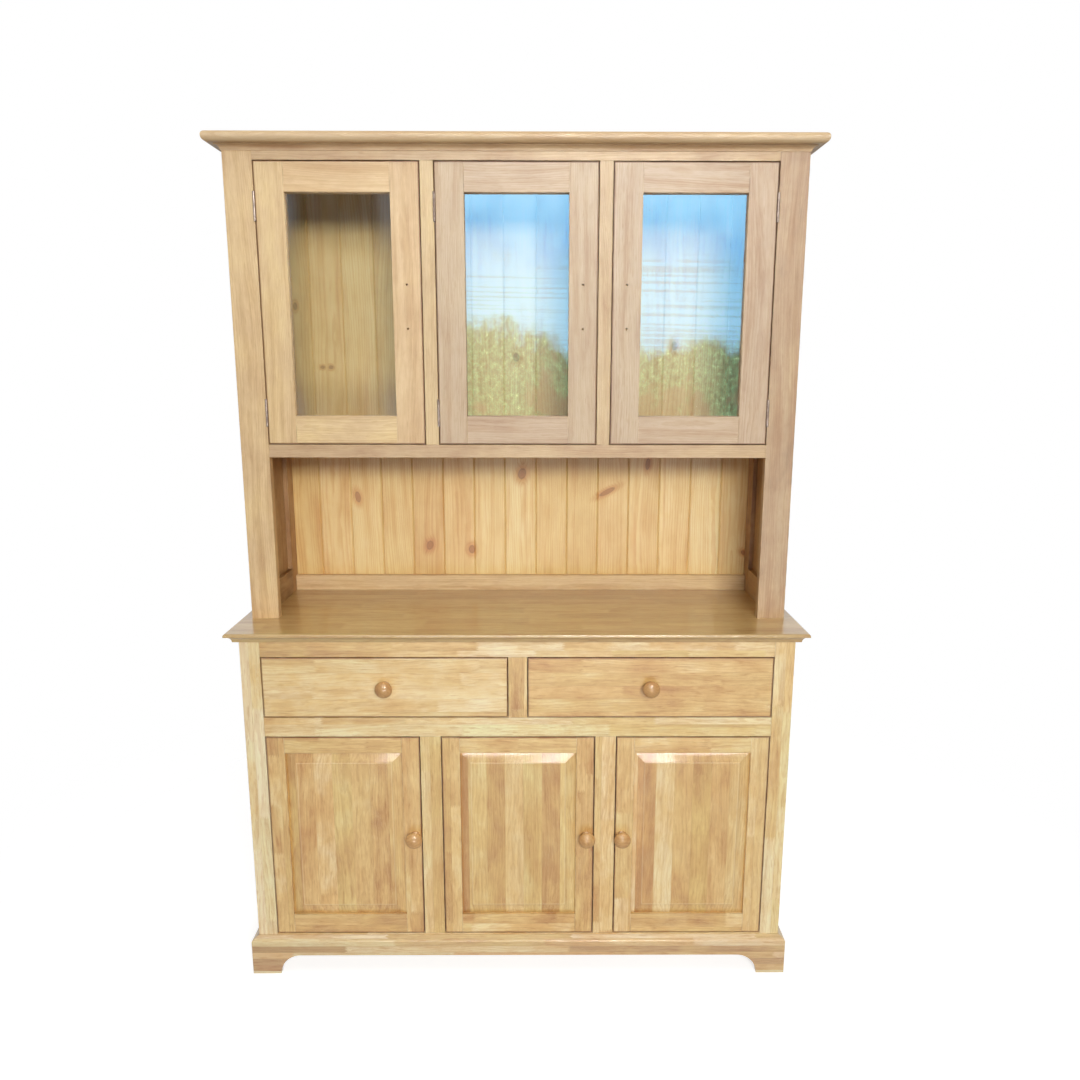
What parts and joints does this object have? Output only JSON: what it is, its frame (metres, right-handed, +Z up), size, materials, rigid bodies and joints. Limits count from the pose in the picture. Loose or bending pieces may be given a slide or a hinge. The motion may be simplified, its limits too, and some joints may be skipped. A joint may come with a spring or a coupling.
{
  "type": "kitchen dresser",
  "caption": "Free-standing timber kitchen dresser: a base with drawers, raised-panel doors and a moulded counter under a rack with glazed doors and an open display bay.",
  "frame": {"origin": "on the floor, under the middle of the dresser's outer box", "axes": "+Z up, the doors and drawers face -Y, +X to the right as seen from the front"},
  "size_m": [1.344, 0.428, 1.97],
  "materials": {
    "rack_oak": "light oak, satin lacquer",
    "base_wood": "golden finger-jointed hardwood, satin lacquer",
    "counter_wood": "darker laminated hardwood, semi-gloss lacquer",
    "back_pine": "knotty pine, clear satin lacquer",
    "inner_wood": "plain sanded timber",
    "knob_wood": "turned hardwood, satin lacquer",
    "glass": "clear float glass",
    "hinge_steel": "plated steel",
    "pivot_brass": "brushed brass"
  },
  "bodies": {
    "carcass": {"base_posts": "base_wood", "base_front_rails": "base_wood", "base_uprights": "base_wood", "base_side_rails": "base_wood", "base_side_panels": "base_wood", "base_rear_rails": "inner_wood", "base_floor": "inner_wood", "base_partitions": "inner_wood", "base_shelves": "inner_wood", "shelf_pins": "hinge_steel", "base_back_boards": "back_pine", "drawer_runners": "inner_wood", "drawer_kickers": "inner_wood", "countertop": "counter_wood", "plinth_front": "base_wood", "plinth_sides": "base_wood", "rack_front_posts": "rack_oak", "rack_front_rails": "rack_oak", "rack_uprights": "rack_oak", "rack_side_frames": "rack_oak", "rack_side_panels": "rack_oak", "rack_floor": "rack_oak", "rack_back_boards": "back_pine", "rack_back_rails": "rack_oak", "cornice_board": "rack_oak", "cornice_cove": "rack_oak", "hinge_post_leaves": "hinge_steel", "door_catches": "inner_wood", "joining_plates": "hinge_steel"},
    "glazed_door_left": {"glazed_left_frame": "rack_oak", "glazed_left_glass": "glass", "glazed_left_beads": "rack_oak", "glazed_left_hinges": "hinge_steel"},
    "glazed_door_centre": {"glazed_centre_frame": "rack_oak", "glazed_centre_glass": "glass", "glazed_centre_beads": "rack_oak", "glazed_centre_hinges": "hinge_steel"},
    "glazed_door_right": {"glazed_right_frame": "rack_oak", "glazed_right_glass": "glass", "glazed_right_beads": "rack_oak", "glazed_right_hinges": "hinge_steel"},
    "panelled_door_left": {"door_left_frame": "base_wood", "door_left_panel": "base_wood", "door_left_pivots": "pivot_brass", "door_left_knob": "knob_wood"},
    "panelled_door_centre": {"door_centre_frame": "base_wood", "door_centre_panel": "base_wood", "door_centre_pivots": "pivot_brass", "door_centre_knob": "knob_wood"},
    "panelled_door_right": {"door_right_frame": "base_wood", "door_right_panel": "base_wood", "door_right_pivots": "pivot_brass", "door_right_knob": "knob_wood"},
    "drawer_left": {"drawer_left_front": "base_wood", "drawer_left_box": "inner_wood", "drawer_left_knob": "knob_wood"},
    "drawer_right": {"drawer_right_front": "base_wood", "drawer_right_box": "inner_wood", "drawer_right_knob": "knob_wood"}
  },
  "joints": [
    {"name": "glazed_door_left_hinge", "type": "hinge", "parent": "carcass", "child": "glazed_door_left", "pos_m": [-0.5745, -0.0882, 1.608], "axis": [0, 0, -1], "range_deg": [0, 110]},
    {"name": "glazed_door_centre_hinge", "type": "hinge", "parent": "carcass", "child": "glazed_door_centre", "pos_m": [-0.18083, -0.0882, 1.608], "axis": [0, 0, -1], "range_deg": [0, 110]},
    {"name": "glazed_door_right_hinge", "type": "hinge", "parent": "carcass", "child": "glazed_door_right", "pos_m": [0.5745, -0.0882, 1.608], "axis": [0, 0, 1], "range_deg": [0, 110]},
    {"name": "panelled_door_left_hinge", "type": "hinge", "parent": "carcass", "child": "panelled_door_left", "pos_m": [-0.58, -0.174, 0.361], "axis": [0, 0, -1], "range_deg": [0, 110]},
    {"name": "panelled_door_centre_hinge", "type": "hinge", "parent": "carcass", "child": "panelled_door_centre", "pos_m": [-0.16633, -0.174, 0.361], "axis": [0, 0, -1], "range_deg": [0, 110]},
    {"name": "panelled_door_right_hinge", "type": "hinge", "parent": "carcass", "child": "panelled_door_right", "pos_m": [0.58, -0.174, 0.361], "axis": [0, 0, 1], "range_deg": [0, 110]},
    {"name": "drawer_left_slide", "type": "slide", "parent": "carcass", "child": "drawer_left", "axis": [0, -1, 0], "range_m": [0, 0.28]},
    {"name": "drawer_right_slide", "type": "slide", "parent": "carcass", "child": "drawer_right", "axis": [0, -1, 0], "range_m": [0, 0.28]}
  ]
}
